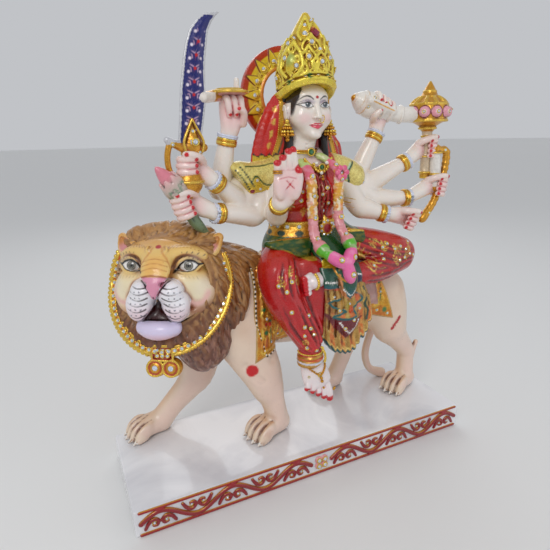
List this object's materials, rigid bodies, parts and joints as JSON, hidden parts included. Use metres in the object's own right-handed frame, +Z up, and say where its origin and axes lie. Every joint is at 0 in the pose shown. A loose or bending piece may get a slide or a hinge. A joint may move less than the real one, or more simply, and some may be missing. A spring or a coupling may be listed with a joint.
{
  "type": "statue of a goddess on a lion",
  "caption": "Painted marble statue of an eight-armed goddess seated on a walking lion, carved with its plinth, for a shelf or shrine.",
  "frame": {"origin": "middle of the plinth's underside", "axes": "+Z up; -Y the side the goddess and the border face; the lion walks towards -X"},
  "size_m": [0.4, 0.1349, 0.462],
  "materials": {
    "painted_marble": "polished white marble, painted with enamel and gold",
    "ruby_glass": "faceted magenta and red glass",
    "clear_glass": "faceted clear glass on foil"
  },
  "bodies": {
    "root": {"carved_statue": "painted_marble", "crown_stone": "ruby_glass", "hilt_stone": "clear_glass", "pommel_stone": "ruby_glass", "belt_stone": "ruby_glass", "pendant_stone_left": "clear_glass", "pendant_stone_right": "clear_glass"}
  },
  "joints": []
}
